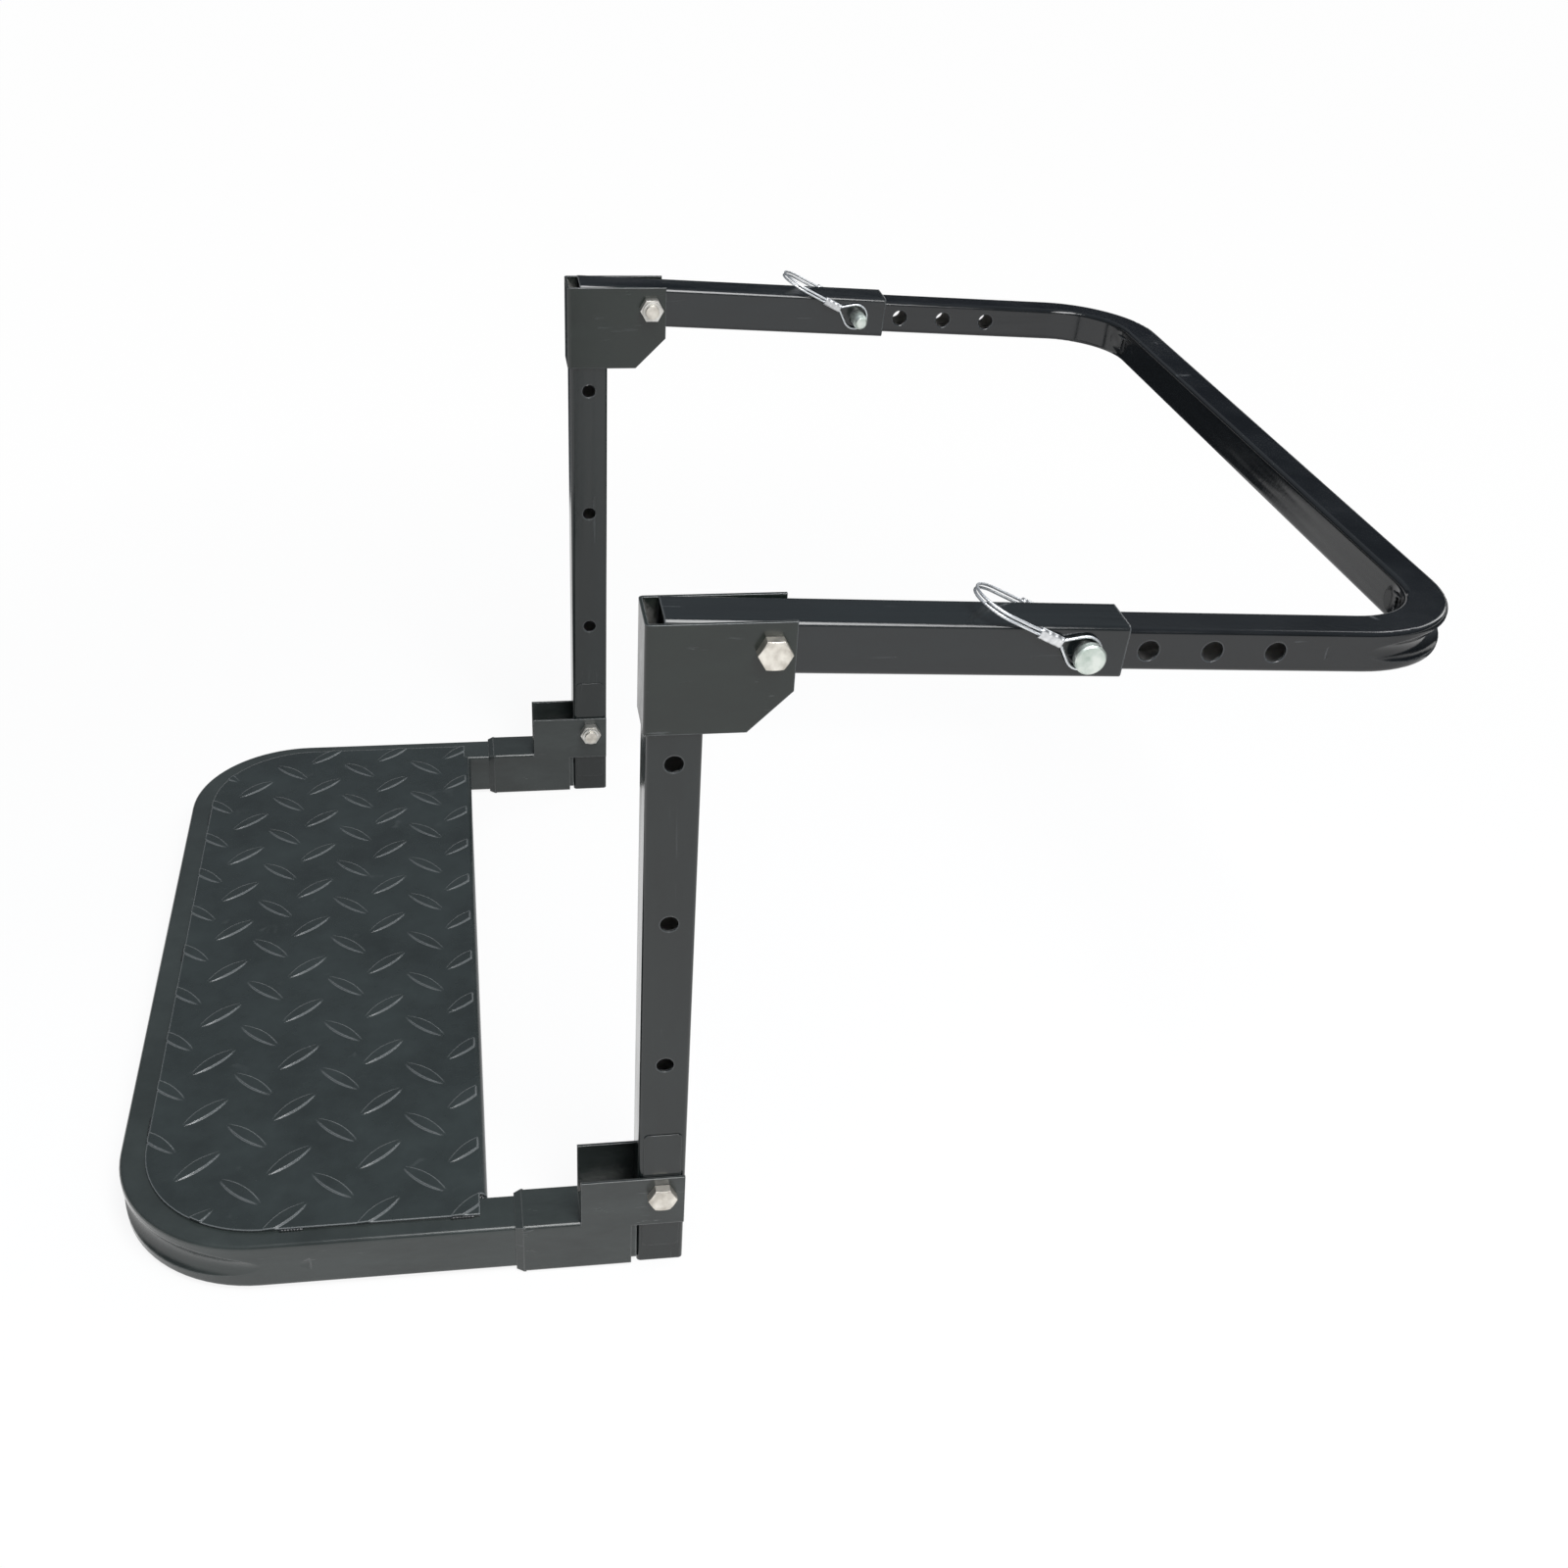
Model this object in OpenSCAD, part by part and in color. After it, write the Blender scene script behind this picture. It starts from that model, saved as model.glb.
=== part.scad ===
// Tire step: a folding work platform that hangs from a vehicle's tire.
// Two bent tube arms rest on top of the tread, two uprights stand against the
// sidewall, and a diamond plate platform folds up against the uprights.
// X runs from the platform towards the tire, Y along the pivots, Z up.
// The origin lies on the floor, under the middle of the whole part.

/* [Uprights] */
// Side of the square tube of the uprights
upright_side = 31.75; // [30:0.25:34]
// Wall of the upright tube
upright_wall = 2; // [1.5:0.25:3]
// Distance between the centre lines of the two uprights
upright_spacing = 614; // [560:2:700]
// Height of the lower pivot above the floor
pivot_height = 66; // [64:0.5:70]
// Pitch of the height holes above the lower pivot
height_hole_pitch = 111; // [95:1:112]
// Number of spare height holes above the lower pivot
spare_hole_count = 3; // [2:1:3]

/* [Platform] */
// Width of the platform frame tube
rail_w = 31.75; // [30:0.25:33]
// Height of the platform frame tube
rail_h = 38.1; // [36:0.1:40]
// Wall of the platform frame tube
rail_wall = 2; // [1.5:0.25:3]
// Reach of the platform's outer edge from the uprights' centre line
platform_reach = 368; // [330:1:372]
// Outer radius of the two bent corners of the platform frame
frame_corner_r = 100; // [90:1:110]
// Depth of the dent that the bending leaves in each corner's outer wall
frame_dent_depth = 5; // [3:0.5:6]

/* [Tread plate] */
// Thickness of the tread plate sheet
plate_t = 2; // [1.5:0.25:2.5]
// Set-back of the tread plate's two ends from the frame's outer sides
plate_inset = 13.5; // [10:0.5:16]
// Set-back of the tread plate's front edge from the frame's outer edge
plate_front_inset = 18; // [15:0.5:21]
// Distance of the tread plate's folded edge from the uprights' centre line
plate_fold_x = 121; // [112:1:130]
// Outer radius of the fold
fold_r = 5.3; // [4:0.1:7]
// Depth of the folded flange below the top of the plate
flange_drop = 22; // [16:1:28]
// Length of a raised lug
lug_length = 42; // [36:1:44]
// Width of a raised lug
lug_width = 9; // [7:0.5:10]
// Height of a raised lug above the plate
lug_rise = 1.3; // [0.8:0.1:1.6]
// Angle of the lugs from the X axis
lug_angle = 42; // [38:1:48]
// Pitch along X between lugs that point the same way
lug_pitch_x = 62; // [58:1:66]
// Pitch along Y between lugs that point the same way
lug_pitch_y = 54.5; // [50:0.5:60]

/* [Brackets] */
// Thickness of the folded bracket sheet
sheet_t = 2; // [1.5:0.25:2.5]
// Length of the closed sleeve of a lower bracket, measured to the pivot
sleeve_reach = 93; // [88:1:98]
// Distance from the pivot to the step up of a lower bracket
ear_reach = 54; // [50:1:58]
// Height of the ears' top edge above the lower pivot
ear_rise = 14; // [12.5:0.5:16]
// Depth of the ears' bottom edge below the lower pivot
ear_drop = 28; // [24:0.5:29]
// Reach of the ears past the lower pivot
ear_front = 15.5; // [14:0.5:18]
// Width of a doubler pad welded on the foot of an upright
pad_w = 25; // [22:0.5:25]
// Length of a doubler pad, centred on the lower pivot
pad_length = 102; // [90:1:110]
// Thickness of a doubler pad
pad_t = 0.75; // [0.5:0.05:1]
// Depth of an upper bracket below the upper pivot
upper_drop = 50; // [44:1:54]
// Reach of an upper bracket past the upper pivot
upper_front = 12.5; // [12:0.5:16]
// Size of the cut corner under the front of an upper bracket
upper_chamfer = 25; // [20:0.5:28]

/* [Arms] */
// Side of the square tube of the arms
arm_side = 31.75; // [30.5:0.25:33]
// Wall of the arm tube
arm_wall = 2; // [1.5:0.25:2]
// Height of the upper pivot above the floor
shoulder_height = 469.5; // [465:0.5:500]
// Distance of the upper pivot in front of the uprights' centre line
shoulder_x = 52; // [50:0.5:56]
// Length of the arm tube in front of the upper pivot
arm_front = 200; // [185:1:220]
// Length of the arm tube behind the upper pivot
arm_tail = 60; // [56:0.5:62]
// Angle by which the arms droop at rest
arm_droop = 2.7; // [1:0.1:3.5]

/* [Hoop] */
// Side of the square tube of the hoop
hoop_side = 25.4; // [24:0.1:26.5]
// Wall of the hoop tube
hoop_wall = 1.8; // [1.5:0.1:2.5]
// Radius of the hoop's bends, on the centre line of the tube
hoop_bend_r = 63.5; // [58:0.5:70]
// Depth of the dent that the bending leaves in each bend's outer wall
hoop_dent_depth = 4; // [2:0.5:4.5]
// Depth of the pucker that the bending leaves in a bend's inner wall
pucker_depth = 1.2; // [0.8:0.1:1.6]
// Turn of the pucker from the cross tube's end of the bend
pucker_angle = 8; // [6:1:14]
// Distance from the hoop's front face to its first hole
hoop_hole_inset = 133.5; // [125:0.5:145]
// Pitch of the width holes
width_hole_pitch = 38.1; // [36:0.1:40]
// Number of width holes in each leg
width_hole_count = 6; // [5:1:6]
// Hole that the pins are in, counted back from the bend
pinned_hole = 3; // [2:1:4]
// Length of each leg behind its last hole
leg_end = 15; // [11:0.5:18]

/* [Pins and lanyards] */
// Diameter of a hitch pin
pin_d = 12.2; // [11.5:0.1:12.6]
// Clearance round a hitch pin in its holes, on the radius
pin_fit = 0.15; // [0.1:0.05:0.3]
// Distance of the pins behind the mouth of the arms
pin_inset = 23.5; // [20:0.5:28]
// Diameter of a pin's head
pin_head_d = 18; // [17.5:0.1:20]
// Thickness of a pin's head
pin_head_t = 5; // [4:0.5:7]
// Length of a pin's end beyond its lanyard
pin_tip = 13; // [8:0.5:16]
// Diameter of the lanyard cable
cable_d = 1.8; // [1.5:0.1:2.2]
// Distance from the pin's axis to the far end of a lanyard
lanyard_reach = 69; // [62:1:74]
// Angle of a lanyard above its arm at rest
lanyard_angle = 24; // [23:1:40]
// Diameter of the eye that holds a pin's end, on the cable's centre line
eye_d = 20; // [19:0.5:22]
// Wall that a crimped ferrule leaves round its two wires
ferrule_wall = 1.2; // [1:0.1:1.6]
// Length of a crimped ferrule
ferrule_length = 15; // [10:0.5:16]

/* [Bolts] */
// Diameter of the pivot bolts
bolt_d = 11; // [10:0.1:11.5]
// Running fit of a pivot bolt in its holes, on the radius
bolt_fit = 0.1; // [0.05:0.01:0.1]
// Width across the flats of the bolt heads and nuts
hex_af = 17; // [16:0.5:19]
// Height of a bolt head
bolt_head_h = 7; // [6:0.5:8]
// Height of a lock nut with its collar
nut_h = 10; // [9:0.5:12]

/* [Hidden] */
$fn = 48;

// Small working clearances
side_play = 0.5;      // between an arm and each side of its bracket
pad_play = 0.25;      // between a doubler pad and an ear
face_play = 0.2;      // between a bolt head or nut and a part that turns under it
rail_play = 0.4;      // above and below the rail in its sleeve
stop_play = 0.6;      // under the tail of a level arm
ear_gap = 4.1;        // from the raised edge of the ears to the upright
butt_play = 0.3;      // from the end of a rail to the upright that stops it
ferrule_play = 0.3;   // between a ferrule and its arm, and the pin's head
eye_play = 0.5;       // between a pin and the side of the eye that it hangs on
wire_gap = 0.6;       // between the two wires of a lanyard
ferrule_fit = 0.05;   // between a ferrule and its wires, on the radius
eye_wrap = 54;        // turn from an eye's ferrule to its tangents, in whole degrees
rim_rise = 1;         // rim of an upper bracket above a level arm
bend_out = 3;         // outer radius of the folds in the sheet
tube_corner = 3;      // outer corner radius of the square tubes
dent_half_angle = 42; // half of the turn over which a dent reads on a bend
thread_end = 2;       // bolt end that shows past its nut
lug_sink = 0.5;       // root of a lug inside the sheet
cut = 1;              // overrun of a cutting shape

// Places that follow from the sizes above
side_y = upright_spacing / 2;
upright_top = shoulder_height - arm_side / 2 - stop_play;
rail_bottom = sheet_t + rail_play;
rail_top = rail_bottom + rail_h;
plate_top = rail_top + plate_t;
rail_end_x = -upright_side / 2 - butt_play;
ear_inner_w = upright_side + 2 * (pad_t + pad_play);
ear_outer_w = ear_inner_w + 2 * sheet_t;
sleeve_h = rail_top + rail_play + sheet_t;
upper_inner_w = arm_side + 2 * side_play;
upper_outer_w = upper_inner_w + 2 * sheet_t;
upper_top = shoulder_height + arm_side / 2 + rim_rise;
bore_d = bolt_d + 2 * bolt_fit;
pin_bore_d = pin_d + 2 * pin_fit;
pin_x = arm_front - pin_inset;
hoop_front = pin_x + pinned_hole * width_hole_pitch + hoop_hole_inset;
leg_back = pin_x - (width_hole_count - 1 - pinned_hole) * width_hole_pitch - leg_end;
hoop_tip_x = shoulder_x + (hoop_front - tube_corner) * cos(arm_droop)
    + (hoop_side / 2 - tube_corner) * sin(arm_droop) + tube_corner;
upright_x = (platform_reach - hoop_tip_x) / 2;
ferrule_r = cable_d / 2 + ferrule_fit + ferrule_wall;
neck_w = 2 * ferrule_r + 2 * ferrule_play;
eye_r = eye_d / 2;
eye_x = eye_r - cable_d / 2 - eye_play - pin_d / 2;
eye_y = arm_side / 2 + neck_w / 2;
wire_z = (cable_d + wire_gap) / 2;
ferrule_x = eye_x + (eye_r - wire_z * sin(eye_wrap)) / cos(eye_wrap);
arch_x = lanyard_reach - eye_y;

// A rectangle with round corners, centred
module round_rect(w, h, r) {
    square([w - 2 * r, h], center = true);
    square([w, h - 2 * r], center = true);
    for (sx = [-1, 1], sy = [-1, 1])
        translate([sx * (w / 2 - r), sy * (h / 2 - r)]) circle(r);
}

// The section of a square tube: its outside, and its bore
module tube_outside(w, h) {
    round_rect(w, h, tube_corner);
}

module tube_bore(w, h, wall) {
    round_rect(w - 2 * wall, h - 2 * wall, max(tube_corner - wall, 0.5));
}

module tube_section(w, h, wall) {
    difference() {
        tube_outside(w, h);
        tube_bore(w, h, wall);
    }
}

// Lays a section drawn in YZ along X
module along_x(x0, x1) {
    translate([x0, 0, 0]) rotate([90, 0, 90]) linear_extrude(x1 - x0) children();
}

// Raises an outline drawn in XZ to a slab, centred on Y
module across_y(w) {
    translate([0, w / 2, 0]) rotate([90, 0, 0]) linear_extrude(w) children();
}

// A round bar along Y, centred
module bar_y(d, w) {
    rotate([90, 0, 0]) cylinder(d = d, h = w, center = true);
}

// The groove that bending draws into the outer wall of a corner. It is a ring
// that meets the wall only between the two ends of the bend, so its edge is a
// lens with pointed ends. The corner turns about the origin, from +X to +Y.
module dent_ring(outer_r, depth, ring_r, grow) {
    overrun = 10;
    shift = depth / (1 - cos(dent_half_angle));
    path_r = outer_r - depth + shift + ring_r;
    translate([-shift * cos(45), -shift * sin(45), 0])
        rotate([0, 0, -overrun]) rotate_extrude(angle = 90 + 2 * overrun)
            translate([path_r, 0]) circle(ring_r + grow);
}

// The shallow pocket where the inner wall of the same corner has puckered,
// close to the cross tube
module pucker_ball(inner_r, grow) {
    ball_r = 34;
    rotate([0, 0, pucker_angle]) translate([inner_r + pucker_depth - ball_r, 0, 0])
        sphere(ball_r + grow, $fn = 96);
}

// What bending takes from a corner of a w x h tube, on both of its walls
module bend_marks(w, h, mid_r, dent_depth, grow) {
    ring_share = 0.42;
    dent_ring(mid_r + w / 2, dent_depth, h * ring_share, grow);
    pucker_ball(mid_r - w / 2, grow);
}

// Places a corner drawn about the origin at the two bends of a U
module at_bends(bend_x, bend_y) {
    for (s = [-1, 1])
        translate([bend_x, s * bend_y, 0]) mirror([0, s < 0 ? 1 : 0, 0]) children();
}

// Sweeps a section along a U that opens towards -X. The legs lie at +-leg_y
// and run back to back_x, and the cross tube's centre line lies at cross_x.
module sweep_u(mid_r, leg_y, back_x, cross_x) {
    bend_x = cross_x - mid_r;
    bend_y = leg_y - mid_r;
    for (s = [-1, 1]) translate([0, s * leg_y, 0]) along_x(back_x, bend_x) children();
    at_bends(bend_x, bend_y) rotate_extrude(angle = 90) translate([mid_r, 0]) children();
    translate([cross_x, bend_y, 0]) rotate([90, 0, 0]) linear_extrude(2 * bend_y) children();
}

// A tube bent to a U, with the marks of the bending on both sides of its wall
module bent_u(w, h, wall, mid_r, dent_depth, leg_y, back_x, front_x) {
    cross_x = front_x - w / 2;
    bend_x = cross_x - mid_r;
    bend_y = leg_y - mid_r;
    difference() {
        sweep_u(mid_r, leg_y, back_x, cross_x) tube_outside(w, h);
        at_bends(bend_x, bend_y) bend_marks(w, h, mid_r, dent_depth, 0);
        difference() {
            sweep_u(mid_r, leg_y, back_x - cut, cross_x) tube_bore(w, h, wall);
            at_bends(bend_x, bend_y) bend_marks(w, h, mid_r, dent_depth, wall);
        }
    }
}

// Places a piece drawn round the foot of an upright, on the floor
module at_upright(s) {
    translate([upright_x, s * side_y, 0]) children();
}

// Uprights, with a doubler pad on each side of the foot
module upright(s) {
    color("#3c4042") at_upright(s) difference() {
        linear_extrude(upright_top) tube_section(upright_side, upright_side, upright_wall);
        for (k = [0 : spare_hole_count])
            translate([0, 0, pivot_height + k * height_hole_pitch])
                bar_y(bore_d, upright_side + 2 * cut);
    }
}

module doubler_pad(s, face) {
    pad_y = face * (upright_side + pad_t) / 2;
    color("#454a4c") at_upright(s) translate([0, pad_y, pivot_height]) difference() {
        across_y(pad_t) round_rect(pad_w, pad_length, tube_corner);
        bar_y(bore_d, pad_t + 2 * cut);
    }
}

// Upper brackets: a folded channel behind each upright's top
module upper_bracket(s) {
    back_x = -upright_side / 2 - sheet_t;
    front_x = shoulder_x + upper_front;
    bottom = shoulder_height - upper_drop;
    mid_x = (back_x + front_x) / 2;
    inner_r = bend_out - sheet_t;
    color("#3f4446") at_upright(s) difference() {
        intersection() {
            translate([0, 0, bottom]) linear_extrude(upper_top - bottom) difference() {
                translate([mid_x + bend_out, 0])
                    round_rect(front_x - back_x + 2 * bend_out, upper_outer_w, bend_out);
                translate([mid_x + sheet_t + bend_out, 0])
                    round_rect(front_x - back_x + 2 * bend_out, upper_inner_w, inner_r);
            }
            across_y(upper_outer_w + 2 * cut) polygon([
                [back_x - cut, bottom], [front_x - upper_chamfer, bottom],
                [front_x, bottom + upper_chamfer], [front_x, upper_top],
                [back_x - cut, upper_top]
            ]);
        }
        translate([shoulder_x, 0, shoulder_height]) bar_y(bore_d, upper_outer_w + 2 * cut);
    }
}

// Lower brackets: a closed sleeve on the rail's end that steps up to two ears.
// The channel runs the whole length, inside the sleeve's own walls at the back.
module ear_channel() {
    tall = 2 * (pivot_height + ear_rise);
    along_x(-sleeve_reach, ear_front) difference() {
        translate([0, tall / 2]) round_rect(ear_outer_w, tall, bend_out);
        translate([0, tall / 2 + sheet_t])
            round_rect(ear_inner_w, tall, bend_out - sheet_t);
        translate([-ear_outer_w, tall / 2]) square([2 * ear_outer_w, tall]);
    }
}

module lower_bracket(s) {
    end_x = -upright_side / 2 - ear_gap;
    ear_bottom = pivot_height - ear_drop;
    color("#454b4e") at_upright(s) {
        along_x(-sleeve_reach, -ear_reach) translate([0, sleeve_h / 2]) difference() {
            round_rect(ear_outer_w, sleeve_h, bend_out);
            round_rect(ear_inner_w, sleeve_h - 2 * sheet_t, bend_out - sheet_t);
        }
        difference() {
            ear_channel();
            translate([-sleeve_reach - cut, -ear_outer_w, sleeve_h / 2])
                cube([sleeve_reach - ear_reach + cut, 2 * ear_outer_w, pivot_height + ear_rise]);
            translate([end_x, -ear_outer_w, -cut])
                cube([ear_front - end_x + cut, 2 * ear_outer_w, ear_bottom + cut]);
            translate([0, 0, pivot_height]) bar_y(bore_d, ear_outer_w + 2 * cut);
        }
        sleeve_weld();
    }
}

// The bead that joins a sleeve's back edge to the rail all round, with its root
// inside the sleeve's mouth
module sleeve_weld() {
    weld_length = 5;
    root = 1.5;
    toe = 0.5;
    back_x = -sleeve_reach - weld_length;
    root_x = -sleeve_reach + root;
    half_w = ear_outer_w / 2 - toe;
    difference() {
        intersection() {
            across_y(ear_outer_w) polygon([
                [back_x, rail_bottom - toe], [-sleeve_reach, toe], [root_x, toe],
                [root_x, sleeve_h - toe], [-sleeve_reach, sleeve_h - toe],
                [back_x, rail_top + toe]
            ]);
            linear_extrude(sleeve_h) polygon([
                [back_x, -rail_w / 2 - toe], [-sleeve_reach, -half_w], [root_x, -half_w],
                [root_x, half_w], [-sleeve_reach, half_w], [back_x, rail_w / 2 + toe]
            ]);
        }
        translate([0, 0, rail_bottom + rail_h / 2]) along_x(back_x - cut, root_x + cut)
            tube_outside(rail_w, rail_h);
    }
}

// Platform: the bent frame and the tread plate welded on it
module step_frame() {
    color("#3a4043") translate([upright_x, 0, rail_bottom + rail_h / 2]) mirror([1, 0, 0])
        bent_u(rail_w, rail_h, rail_wall, frame_corner_r - rail_w / 2, frame_dent_depth,
            side_y, -rail_end_x, platform_reach);
}

module plate_outline() {
    edge_x = platform_reach - plate_front_inset;
    half_y = side_y + rail_w / 2 - plate_inset;
    corner_r = frame_corner_r - plate_inset;
    difference() {
        translate([-edge_x, -half_y]) square([edge_x - plate_fold_x, 2 * half_y]);
        for (s = [-1, 1]) translate([-edge_x, s * half_y]) difference() {
            square(2 * corner_r, center = true);
            translate([corner_r, -s * corner_r]) circle(corner_r, $fn = 96);
        }
    }
}

// A raised lug: a lens in plan, with a back that is arched along its length and
// meets the sheet just short of the lens's two points
module lug() {
    point = 2;
    arch_half = lug_length / 2 - point;
    flat_r = (lug_length * lug_length + lug_width * lug_width) / (4 * lug_width);
    arch_r = (arch_half * arch_half + lug_rise * lug_rise) / (2 * lug_rise);
    intersection() {
        translate([0, 0, -lug_sink]) linear_extrude(lug_sink + lug_rise) intersection() {
            translate([0, flat_r - lug_width / 2]) circle(flat_r, $fn = 128);
            translate([0, lug_width / 2 - flat_r]) circle(flat_r, $fn = 128);
        }
        translate([0, 0, lug_rise - arch_r])
            rotate([90, 0, 0]) cylinder(r = arch_r, h = lug_width, center = true, $fn = 200);
    }
}

// Two fields of lugs, each halfway between the other's rows and columns
module lug_field() {
    first_x = 6;
    columns = ceil((platform_reach - plate_fold_x) / lug_pitch_x);
    rows = ceil(side_y / lug_pitch_y);
    for (i = [0 : columns], j = [-rows : rows], turn = [-1, 1]) {
        lug_x = -plate_fold_x - first_x - (i + (turn > 0 ? 0 : 0.5)) * lug_pitch_x;
        lug_y = (turn > 0 ? lug_pitch_y / 2 : 0) + j * lug_pitch_y;
        if (lug_x > -platform_reach && abs(lug_y) < side_y)
            translate([lug_x, lug_y]) rotate([0, 0, turn * lug_angle]) lug();
    }
}

module tread_plate() {
    end_play = 1;
    flange_w = upright_spacing - rail_w - 2 * end_play;
    color("#343b40") translate([upright_x, 0, 0]) {
        translate([0, 0, rail_top]) linear_extrude(plate_t) plate_outline();
        translate([0, 0, plate_top]) intersection() {
            lug_field();
            translate([0, 0, -lug_sink]) linear_extrude(lug_sink + lug_rise) plate_outline();
        }
        across_y(flange_w) translate([-plate_fold_x, plate_top - fold_r]) {
            intersection() {
                difference() {
                    circle(fold_r);
                    circle(fold_r - plate_t);
                }
                square(fold_r);
            }
            translate([fold_r - plate_t, fold_r - flange_drop])
                square([plate_t, flange_drop - fold_r]);
        }
    }
}

// Arms and hoop, drawn level with the upper pivot at the origin
module at_shoulder() {
    translate([upright_x + shoulder_x, 0, shoulder_height]) rotate([0, arm_droop, 0])
        children();
}

module arm(s) {
    color("#3c4244") at_shoulder() translate([0, s * side_y, 0]) difference() {
        along_x(-arm_tail, arm_front) tube_section(arm_side, arm_side, arm_wall);
        bar_y(bore_d, arm_side + 2 * cut);
        translate([pin_x, 0, 0]) bar_y(pin_bore_d, arm_side + 2 * cut);
    }
}

module hoop() {
    color("#33393d") at_shoulder() difference() {
        bent_u(hoop_side, hoop_side, hoop_wall, hoop_bend_r, hoop_dent_depth,
            side_y, leg_back, hoop_front);
        for (s = [-1, 1], k = [0 : width_hole_count - 1])
            translate([hoop_front - hoop_hole_inset - k * width_hole_pitch, s * side_y, 0])
                bar_y(pin_bore_d, hoop_side + 2 * cut);
    }
}

// Hitch pins: head on the outer side, tip on the inner side, and a neck at
// each end for a lanyard's eye
module pin(s) {
    reach = arm_side / 2 + neck_w;
    taper = 2;
    edge = 1;
    color("#a9b0b8") at_shoulder() translate([pin_x, s * side_y, 0])
        rotate([s * 90, 0, 0]) rotate_extrude() polygon([
            [0, -reach - pin_head_t], [pin_head_d / 2 - edge, -reach - pin_head_t],
            [pin_head_d / 2, -reach - pin_head_t + edge], [pin_head_d / 2, -reach],
            [pin_d / 2, -reach], [pin_d / 2, reach + pin_tip - 2 * taper],
            [pin_d / 2 - taper, reach + pin_tip], [0, reach + pin_tip]
        ]);
}

// Lanyards: a closed loop of cable, crimped by two ferrules into an eye round
// each end of the pin and two wires side by side that arch over the arm
module at_lanyard(s) {
    at_shoulder() translate([pin_x, s * side_y, 0]) rotate([0, 180 + lanyard_angle, 0])
        children();
}

module cable_line(length) {
    rotate([0, 90, 0]) cylinder(d = cable_d, h = length);
}

// The wide eye that hangs on the pin, drawn in XY, and the two straights that
// leave it on a tangent and turn, mitred, into the ferrule
module cable_eye() {
    run = ferrule_x - eye_x;
    straight = run * sin(eye_wrap) - wire_z * cos(eye_wrap);
    mitre = (eye_wrap - 90) / 2;
    block = 4 * cable_d;
    translate([eye_x, 0, 0]) rotate([90, 0, 0]) {
        rotate([0, 0, eye_wrap]) rotate_extrude(angle = 360 - 2 * eye_wrap)
            translate([eye_r, 0]) circle(d = cable_d, $fn = 16);
        for (turn = [0, 180]) rotate([turn, 0, 0]) {
            difference() {
                rotate([0, 0, eye_wrap]) translate([eye_r, 0, 0]) rotate([0, 0, -90])
                    cable_line(straight + cable_d);
                translate([run, wire_z, 0]) rotate([0, 0, mitre])
                    translate([0, -block / 2, -block / 2]) cube(block);
            }
            difference() {
                translate([run - cable_d, wire_z, 0]) cable_line(2 * cable_d);
                translate([run, wire_z, 0]) rotate([0, 0, mitre])
                    translate([-block, -block / 2, -block / 2]) cube(block);
            }
        }
    }
}

module lanyard(s) {
    color("#9aa4ae") at_lanyard(s) {
        for (side = [-1, 1]) translate([0, side * eye_y, 0]) {
            cable_eye();
            for (wire = [-1, 1]) translate([ferrule_x + cable_d, 0, wire * wire_z])
                cable_line(arch_x - ferrule_x - cable_d);
        }
        for (wire = [-1, 1]) translate([arch_x, 0, wire * wire_z]) rotate([0, 0, -90])
            rotate_extrude(angle = 180) translate([eye_y, 0]) circle(d = cable_d, $fn = 16);
    }
}

// A flat oval sleeve, pressed round both wires
module ferrules(s) {
    color("#b4bac0") at_lanyard(s) for (side = [-1, 1]) difference() {
        translate([0, side * eye_y, 0]) along_x(ferrule_x, ferrule_x + ferrule_length) {
            square([2 * ferrule_r, 2 * wire_z], center = true);
            for (wire = [-1, 1]) translate([0, wire * wire_z]) circle(ferrule_r);
        }
        for (wire = [-1, 1]) translate([ferrule_x - cut, side * eye_y, wire * wire_z])
            rotate([0, 90, 0]) cylinder(r = ferrule_r - ferrule_wall, h = ferrule_length + 2 * cut);
    }
}

// Pivot bolts, with their heads on the outer sides, and lock nuts
module hex_bolt(grip_w, play) {
    seat = -grip_w / 2 - play;
    tip = grip_w / 2 + play + nut_h + thread_end;
    corner_d = hex_af / cos(30);
    face_d = hex_af - 1;
    color("#c9c6bb") {
        translate([0, 0, seat - bolt_head_h]) intersection() {
            cylinder(d = corner_d, h = bolt_head_h, $fn = 6);
            cylinder(d1 = face_d, d2 = face_d + 4 * bolt_head_h, h = bolt_head_h);
        }
        translate([0, 0, seat]) cylinder(d = bolt_d, h = tip - seat);
    }
}

module lock_nut(grip_w, play) {
    seat = grip_w / 2 + play;
    collar_h = 2.5;
    collar_d = hex_af - 1.5;
    color("#c9c6bb") translate([0, 0, seat]) difference() {
        union() {
            cylinder(d = hex_af / cos(30), h = nut_h - collar_h, $fn = 6);
            cylinder(d = collar_d, h = nut_h);
        }
        translate([0, 0, -cut]) cylinder(d = bolt_d, h = nut_h + 2 * cut);
    }
}

module upper_place(s) {
    at_upright(s) translate([shoulder_x, 0, shoulder_height]) rotate([s * 90, 0, 0])
        children();
}

module lower_place(s) {
    at_upright(s) translate([0, 0, pivot_height]) rotate([s * 90, 0, 0]) children();
}

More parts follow.
